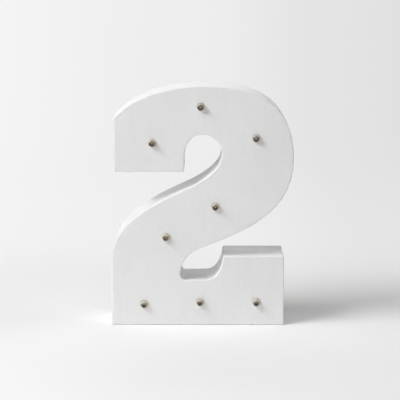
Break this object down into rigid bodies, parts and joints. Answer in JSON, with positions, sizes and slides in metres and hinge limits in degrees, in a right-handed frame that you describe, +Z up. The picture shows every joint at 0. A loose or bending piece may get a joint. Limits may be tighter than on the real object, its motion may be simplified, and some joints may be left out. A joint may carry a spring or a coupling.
{
  "type": "light up marquee number",
  "caption": "Free-standing or wall-hung painted wooden numeral with small clear lamps in its face, a recessed back, a battery compartment and a slide switch.",
  "frame": {"origin": "middle of the underside, midway between the tips of the lamps and the rim of the back", "axes": "+Z up, the lit face looks along -Y, +X to the right of someone who looks at the face"},
  "size_m": [0.121, 0.0456, 0.16],
  "materials": {
    "painted_wood": "satin white paint",
    "raw_board": "bare fibreboard",
    "clear_epoxy": "clear cast epoxy",
    "tinned_leads": "tinned",
    "zinc_steel": "zinc plated",
    "white_plastic": "fine texture",
    "black_plastic": "satin",
    "red_insulation": "smooth",
    "black_insulation": "smooth",
    "cell_jacket": "plain printed jacket",
    "resistor_body": "lacquered"
  },
  "bodies": {
    "numeral": {"arm_back_screw": "zinc_steel", "arm_bottom_board": "painted_wood", "arm_end_board": "painted_wood", "arm_glue_block": "raw_board", "back_panel": "raw_board", "base_board": "painted_wood", "base_left_back_screw": "zinc_steel", "base_left_glue_block": "raw_board", "base_right_back_screw": "zinc_steel", "base_right_glue_block": "raw_board", "battery_tray": "white_plastic", "block_end_board": "painted_wood", "block_top_board": "painted_wood", "bowl_back_screw": "zinc_steel", "bowl_glue_block": "raw_board", "bowl_strip": "painted_wood", "bridge_contact": "zinc_steel", "counter_strip": "painted_wood", "cover_hinge_pin": "zinc_steel", "crown_strip": "painted_wood", "front_panel": "painted_wood", "hanger_plate": "zinc_steel", "led_lead_frame_1": "tinned_leads", "led_lead_frame_2": "tinned_leads", "led_lead_frame_3": "tinned_leads", "led_lead_frame_4": "tinned_leads", "led_lead_frame_5": "tinned_leads", "led_lead_frame_6": "tinned_leads", "led_lead_frame_7": "tinned_leads", "led_lead_frame_8": "tinned_leads", "led_lens_1": "clear_epoxy", "led_lens_2": "clear_epoxy", "led_lens_3": "clear_epoxy", "led_lens_4": "clear_epoxy", "led_lens_5": "clear_epoxy", "led_lens_6": "clear_epoxy", "led_lens_7": "clear_epoxy", "led_lens_8": "clear_epoxy", "led_negative_wire": "black_insulation", "led_positive_wire": "red_insulation", "left_cell": "cell_jacket", "left_hanger_screw": "zinc_steel", "left_switch_screw": "zinc_steel", "negative_contact": "zinc_steel", "notch_back_screw": "zinc_steel", "notch_glue_block": "raw_board", "notch_strip": "painted_wood", "positive_contact": "zinc_steel", "resistor": "resistor_body", "right_cell": "cell_jacket", "right_hanger_screw": "zinc_steel", "right_switch_screw": "zinc_steel", "shoulder_strip": "painted_wood", "side_tray_screw": "zinc_steel", "switch_body": "black_plastic", "switch_frame": "zinc_steel", "switch_wire": "red_insulation", "upper_tray_screw": "zinc_steel"},
    "battery_cover": {"battery_cover": "white_plastic"},
    "switch_slider": {"switch_slider": "black_plastic"}
  },
  "joints": [
    {"name": "battery_cover_hinge", "type": "hinge", "parent": "numeral", "child": "battery_cover", "pos_m": [-0.03313, 0.02065, 0.06], "axis": [1, 0, 0], "range_deg": [0, 150]},
    {"name": "switch_slide", "type": "slide", "parent": "numeral", "child": "switch_slider", "axis": [1, 0, 0], "range_m": [0, 0.003]}
  ]
}
